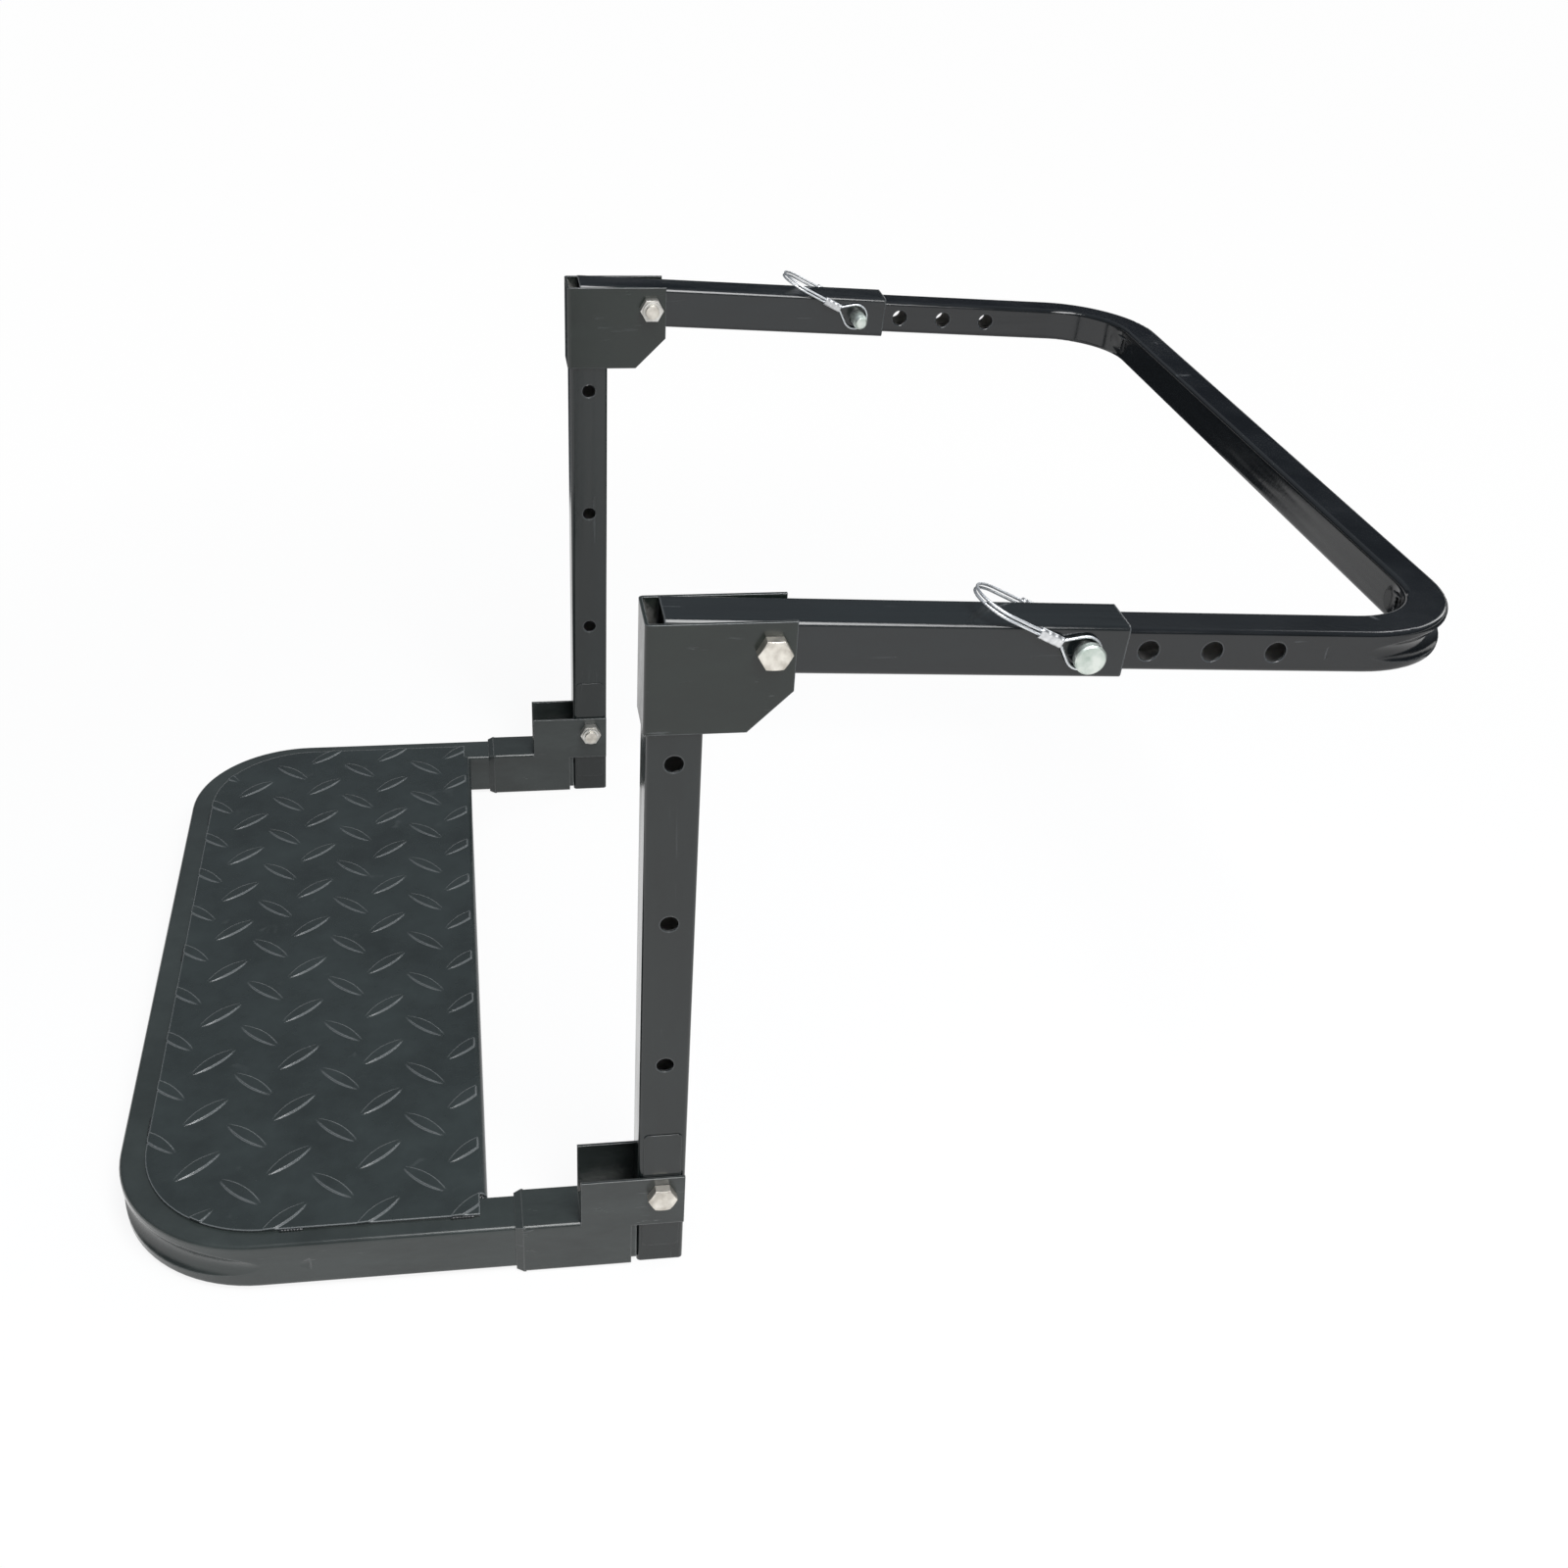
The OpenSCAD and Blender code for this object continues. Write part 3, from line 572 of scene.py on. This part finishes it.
def plated_steel(name, light, dark, shine, crystal, relief, edge_radius):
    """Bright zinc plating: mottled, a little hazy in patches, with soft edges."""
    hazed = shine + 0.22
    metal = bpy.data.materials.new(name)
    metal.use_nodes = True
    nodes, links = metal.node_tree.nodes, metal.node_tree.links
    shader = nodes["Principled BSDF"]
    shader.inputs["Metallic"].default_value = 1
    plate = nodes.new("ShaderNodeGroup")
    plate.node_tree = plating
    plate.inputs["Light"].default_value = (*light, 1)
    plate.inputs["Dark"].default_value = (*dark, 1)
    plate.inputs["Crystal"].default_value = crystal
    edges = nodes.new("ShaderNodeGroup")
    edges.node_tree = soft_edge
    edges.inputs["Radius"].default_value = edge_radius
    bump = nodes.new("ShaderNodeBump")
    bump.inputs["Strength"].default_value = 0.5
    bump.inputs["Distance"].default_value = relief
    rough = nodes.new("ShaderNodeMapRange")
    rough.inputs["To Min"].default_value = shine
    rough.inputs["To Max"].default_value = hazed
    links.new(plate.outputs["Color"], shader.inputs["Base Color"])
    links.new(plate.outputs["Height"], bump.inputs["Height"])
    links.new(edges.outputs["Normal"], bump.inputs["Normal"])
    links.new(bump.outputs["Normal"], shader.inputs["Normal"])
    links.new(plate.outputs["Haze"], rough.inputs["Value"])
    links.new(rough.outputs["Result"], shader.inputs["Roughness"])
    return metal


bolt_zinc = plated_steel(
    "bolt_zinc", light=(0.72, 0.69, 0.63), dark=(0.5, 0.47, 0.42),
    shine=0.36, crystal=700, relief=0.00006, edge_radius=0.0005)
nut_zinc = plated_steel(
    "nut_zinc", light=(0.7, 0.69, 0.66), dark=(0.46, 0.45, 0.42),
    shine=0.34, crystal=500, relief=0.00005, edge_radius=0.0004)
upper_pivot = ("_upper", -0.002145, 0.4695)
lower_pivot = ("_lower", upright_x, 0.066)
thread_pitch = 0.0009
thread_r = 0.0055
thread_start = 0.0019
thread_profile = (
    (thread_r - 0.0005, 0),
    (thread_r + 0.0002, 0.00035),
    (thread_r - 0.0005, 0.0007))
steps_per_turn = 24
thread_steps = 30
threads = bmesh.new()
for side in (-1, 1):
    for pivot, x, z in (upper_pivot, lower_pivot):
        label = ends[side] + pivot
        finish_node(label + "_bolt", bolt_zinc)
        finish_node(label + "_nut", nut_zinc)
        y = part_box(label + "_bolt")[side < 0][1] + side * thread_start
        crest = [threads.verts.new((x + reach, y - side * along, z))
                 for reach, along in thread_profile]
        flank = [threads.edges.new((crest[0], crest[1])),
                 threads.edges.new((crest[1], crest[2])),
                 threads.edges.new((crest[2], crest[0]))]
        bmesh.ops.spin(
            threads, geom=crest + flank, cent=(x, y, z), axis=(0, 1, 0),
            dvec=(0, -side * thread_pitch / steps_per_turn, 0),
            angle=math.tau * thread_steps / steps_per_turn,
            steps=thread_steps, use_merge=False)
open_ends = [edge for edge in threads.edges if edge.is_boundary]
bmesh.ops.holes_fill(threads, edges=open_ends, sides=3)
bmesh.ops.recalc_face_normals(threads, faces=threads.faces)
mesh = bpy.data.meshes.new("bolt_threads")
threads.to_mesh(mesh)
threads.free()
mesh.materials.append(nut_zinc)
piece = bpy.data.objects.new("bolt_threads", mesh)
bpy.context.collection.objects.link(piece)
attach(piece, "uprights")

# The platform frame. One rectangular tube bent to a U, glossy like the rest but
# handled more, so that its outer corners are rubbed. Short stitches of weld
# hold the tread plate's edge and the two ends of its fold down on it.
# Painted light: the frame's coat colour is painted lighter than the arms' and
# hoop's, for the stronger light on the step's low parts.
frame_coat = coated_steel(
    "frame_coat", paint_and_light=(0.026, 0.032, 0.031), edge_wear_and_sheen=(0.1, 0.108, 0.108),
    gloss=0.15, edge_radius=0.0018, peel=180, grain=(30, 30, 400),
    scuffing=0.3)
finish_node("step_frame", frame_coat)
plate_edge_x, plate_edge_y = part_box("tread_plate")[0][:2]
fold_face_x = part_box("tread_plate")[1][0]
rail_inner_y = 2 * side_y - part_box("step_frame")[1][1]
frame_top = 0.0405
clear = 0.0004
stitch_z = frame_top + clear
front_stitch = Vector((0, 0.009, 0))
end_stitch = Vector((0.008, 0, 0))
corner_back = Vector((-0.004, 0, 0.0004))
corner_front = Vector((0.0035, 0, -0.0022))
stitches = bmesh.new()
for along in (-0.2, 0.0, 0.2):
    foot = Vector((plate_edge_x - clear, along, stitch_z))
    weld_bead(
        stitches, foot - front_stitch, foot + front_stitch,
        radius=0.0013, ripple=0.002)
for side in (-1, 1):
    for along in (-0.3, -0.187):
        foot = Vector((along, side * (clear - plate_edge_y), stitch_z))
        weld_bead(
            stitches, foot - end_stitch, foot + end_stitch,
            radius=0.0013, ripple=0.002)
for side in (-1, 1):
    corner = Vector((
        fold_face_x - 0.0045, side * rail_inner_y, frame_top - clear))
    weld_bead(
        stitches, corner + corner_back, corner + corner_front,
        radius=0.0018, ripple=0.002)
weld_piece("plate_stitches", stitches, weld_coat, "step")

# The tread plate. Rolled diamond plate under the same black coat, a little
# satin from shoes, painted lighter for the stronger light on the step's low
# parts.
# Round each raised lug the coat is painted pale, partly wear and partly a painted
# highlight on the lug's sloped edges.
tread_coat = coated_steel(
    "tread_coat", paint_and_light=(0.02, 0.026, 0.026), edge_wear_and_sheen=(0.13, 0.142, 0.146),
    gloss=0.22, edge_radius=0.0018, peel=240, grain=(60, 60, 60),
    scuffing=0.15)
finish_node("tread_plate", tread_coat)

# The lower brackets. Folded sheet: a closed sleeve welded round the end of a
# rail, which steps up to the two ears that turn on the upright's bolt.
# Painted light: the sleeves' coat colour is painted lighter, like the frame's,
# for the stronger light on the low parts.
sleeve_coat = coated_steel(
    "sleeve_coat", paint_and_light=(0.024, 0.029, 0.028), edge_wear_and_sheen=(0.1, 0.106, 0.106),
    gloss=0.16, edge_radius=0.001, peel=210, grain=(40, 300, 300),
    scuffing=0.45)
for name in ("near_lower_bracket", "far_lower_bracket"):
    finish_node(name, sleeve_coat)

# The arms. Square tube that slides over the hoop's legs. The coat is glossy
# and has long scuffs from adjusting the width.
# Painted shade: the arms' coat colour is painted darker than the frame's, for the
# weaker light on the high parts.
arm_coat = coated_steel(
    "arm_coat", paint_and_light=(0.006, 0.008, 0.009), edge_wear_and_sheen=(0.08, 0.086, 0.09),
    gloss=0.1, edge_radius=0.0018, peel=300, grain=(14, 420, 420),
    scuffing=0.6)
for name in ("near_arm", "far_arm"):
    finish_node(name, arm_coat)

# The hoop. One smaller square tube with two tight bends, whose wall is drawn in
# round the outside and puckered inside. The coat is rubbed where it slides.
# Painted shade: the hoop's coat colour is painted darker still, for the weak
# light on its top faces.
hoop_coat = coated_steel(
    "hoop_coat", paint_and_light=(0.004, 0.005, 0.006), edge_wear_and_sheen=(0.055, 0.06, 0.065),
    gloss=0.07, edge_radius=0.0016, peel=320, grain=(30, 30, 420),
    scuffing=0.8, waves=14)
finish_node("hoop", hoop_coat)
droop = Matrix.Rotation(math.radians(2.7), 4, "Y")
shoulder = Matrix.Translation((-0.0021446, 0, 0.4695)) @ droop
bend_x = 0.3481
bend_y = 0.2435
inner_r = 0.0516
crease_ends = ((1, 0.0048), (15, 0.0052), (7, 0.005), (9, -0.0055))
creases = bmesh.new()
for side in (-1, 1):
    fold = []
    for degrees, height in crease_ends:
        turn = math.radians(degrees)
        fold.append(shoulder @ Vector((
            bend_x + inner_r * math.cos(turn),
            side * (bend_y + inner_r * math.sin(turn)),
            height)))
    weld_bead(creases, fold[0], fold[1], radius=0.0009, ripple=0.004)
    weld_bead(creases, fold[2], fold[3], radius=0.0009, ripple=0.003)
weld_piece("pucker_creases", creases, hoop_coat, "hoop_arms")

# The hitch pins. Turned steel with a flat head, bright zinc plated, and
# faintly green from its passivation.
pin_zinc = plated_steel(
    "pin_zinc", light=(0.66, 0.7, 0.66), dark=(0.46, 0.53, 0.48),
    shine=0.4, crystal=900, relief=0.00012, edge_radius=0.0006)
for name in ("near_pin", "far_pin"):
    finish_node(name, pin_zinc)

# The lanyards. Stranded wire rope, looped round both ends of the pin and
# crimped into two wires side by side, so stiff that it stands over the arm.
pin_x = 0.1765
eye_r = 0.01
eye_x = 0.0025
eye_y = 0.018325
pair_z = 0.0012
wrap = math.radians(54)
crimp_x = eye_x + (eye_r - pair_z * math.sin(wrap)) / math.cos(wrap)
arch_x = 0.050675
rope_r = 0.0009
strand_count = 6
strand_lay = 0.0105
rise = Matrix.Rotation(math.radians(180 + 24), 4, "Y")
rope_wire = plated_steel(
    "rope_wire", light=(0.72, 0.74, 0.76), dark=(0.5, 0.52, 0.54),
    shine=0.34, crystal=1500, relief=0.00003, edge_radius=0.0001)


def rope_loop():
    """The centre line of the closed loop: eye, pair of wires, arch, eye, arch."""
    eye_steps, neck_steps, leg_steps, arch_steps = 40, 12, 30, 48
    leg_run = Vector((arch_x - crimp_x, 0, 0))
    points = []
    for side in (1, -1):
        level = -side * pair_z
        for step in range(eye_steps + 1):
            turn = side * (wrap + (math.tau - 2 * wrap) * step / eye_steps)
            points.append(Vector((
                eye_x + eye_r * math.cos(turn),
                side * eye_y,
                eye_r * math.sin(turn))))
        leg = Vector((crimp_x, side * eye_y, level))
        last = points[-1]
        points += [last.lerp(leg, step / neck_steps)
                   for step in range(1, neck_steps)]
        points += [leg + leg_run * step / leg_steps
                   for step in range(leg_steps)]
        for step in range(arch_steps + 1):
            turn = side * (math.pi / 2 - math.pi * step / arch_steps)
            points.append(Vector((
                arch_x + eye_y * math.cos(turn),
                eye_y * math.sin(turn),
                level)))
        far_leg = Vector((crimp_x, -side * eye_y, level))
        points += [far_leg + leg_run * step / leg_steps
                   for step in range(leg_steps - 1, -1, -1)]
        first = Vector((
            eye_x + eye_r * math.cos(wrap),
            -side * eye_y,
            -side * eye_r * math.sin(wrap)))
        points += [far_leg.lerp(first, step / neck_steps)
                   for step in range(1, neck_steps)]
    return points


lobes = bpy.data.curves.new("strands", "CURVE")
lobes.dimensions = "2D"
rim = lobes.splines.new("POLY")
rim_steps = strand_count * 4
rim.points.add(rim_steps - 1)
for step, point in enumerate(rim.points):
    turn = math.tau * step / rim_steps
    swell = 0.87 + 0.13 * abs(math.cos(turn * strand_count / 2))
    spoke = Vector((math.cos(turn), math.sin(turn))) * rope_r * swell
    point.co = (*spoke, 0, 1)
rim.use_cyclic_u = True
section = bpy.data.objects.new("strands", lobes)
bpy.context.collection.objects.link(section)
for side in (-1, 1):
    label = ends[side]
    line = rope_loop()
    rope = bpy.data.curves.new(label + "_rope", "CURVE")
    rope.dimensions = "3D"
    rope.bevel_mode = "OBJECT"
    rope.bevel_object = section
    wire = rope.splines.new("POLY")
    wire.points.add(len(line) - 1)
    wire.use_cyclic_u = True
    length = sum((line[i] - line[i - 1]).length for i in range(len(line)))
    turns = round(length / strand_lay)
    run = 0
    for i, point in enumerate(wire.points):
        run += (line[i] - line[i - 1]).length if i else 0
        point.co = (*line[i], 1)
        point.tilt = math.tau * turns * run / length
    laid = bpy.data.objects.new(label + "_rope", rope)
    bpy.context.collection.objects.link(laid)
    settled = bpy.context.evaluated_depsgraph_get()
    mesh = bpy.data.meshes.new_from_object(laid.evaluated_get(settled))
    at_pin = Matrix.Translation((pin_x, side * side_y, 0))
    mesh.transform(shoulder @ at_pin @ rise)
    mesh.shade_smooth()
    mesh.materials.clear()
    mesh.materials.append(rope_wire)
    piece = bpy.data.objects.new(label + "_wire_rope", mesh)
    bpy.context.collection.objects.link(piece)
    bpy.data.objects.remove(laid)
    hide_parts(label + "_lanyard")
    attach(piece, label + "_bail")

bpy.data.objects.remove(section)

# The ferrules. Flat oval sleeves of soft metal, pressed round the two wires by
# a tool that leaves rounded bands across them.
crimped = bpy.data.materials.new("crimped_ferrule")
crimped.use_nodes = True
nodes, links = crimped.node_tree.nodes, crimped.node_tree.links
shader = nodes["Principled BSDF"]
shader.inputs["Metallic"].default_value = 1
plate = nodes.new("ShaderNodeGroup")
plate.node_tree = plating
pale_metal = (0.72, 0.73, 0.74, 1)
dull_metal = (0.45, 0.46, 0.47, 1)
plate.inputs["Light"].default_value = pale_metal
plate.inputs["Dark"].default_value = dull_metal
edges = nodes.new("ShaderNodeGroup")
edges.node_tree = soft_edge
edges.inputs["Radius"].default_value = 0.0006
where = nodes.new("ShaderNodeTexCoord")
turned = nodes.new("ShaderNodeMapping")
along_wires = (0, math.radians(-206.7), 0)
turned.inputs["Rotation"].default_value = along_wires
bands = nodes.new("ShaderNodeTexWave")
bands.inputs["Scale"].default_value = 70
bump = nodes.new("ShaderNodeBump")
bump.inputs["Strength"].default_value = 0.6
bump.inputs["Distance"].default_value = 0.0005
rough = nodes.new("ShaderNodeMapRange")
rough.inputs["To Min"].default_value = 0.34
rough.inputs["To Max"].default_value = 0.54
links.new(where.outputs["Object"], turned.inputs["Vector"])
links.new(turned.outputs["Vector"], bands.inputs["Vector"])
links.new(bands.outputs["Fac"], bump.inputs["Height"])
links.new(edges.outputs["Normal"], bump.inputs["Normal"])
links.new(bump.outputs["Normal"], shader.inputs["Normal"])
links.new(plate.outputs["Color"], shader.inputs["Base Color"])
links.new(plate.outputs["Haze"], rough.inputs["Value"])
links.new(rough.outputs["Result"], shader.inputs["Roughness"])
for name in ("near_ferrules", "far_ferrules"):
    finish_node(name, crimped)
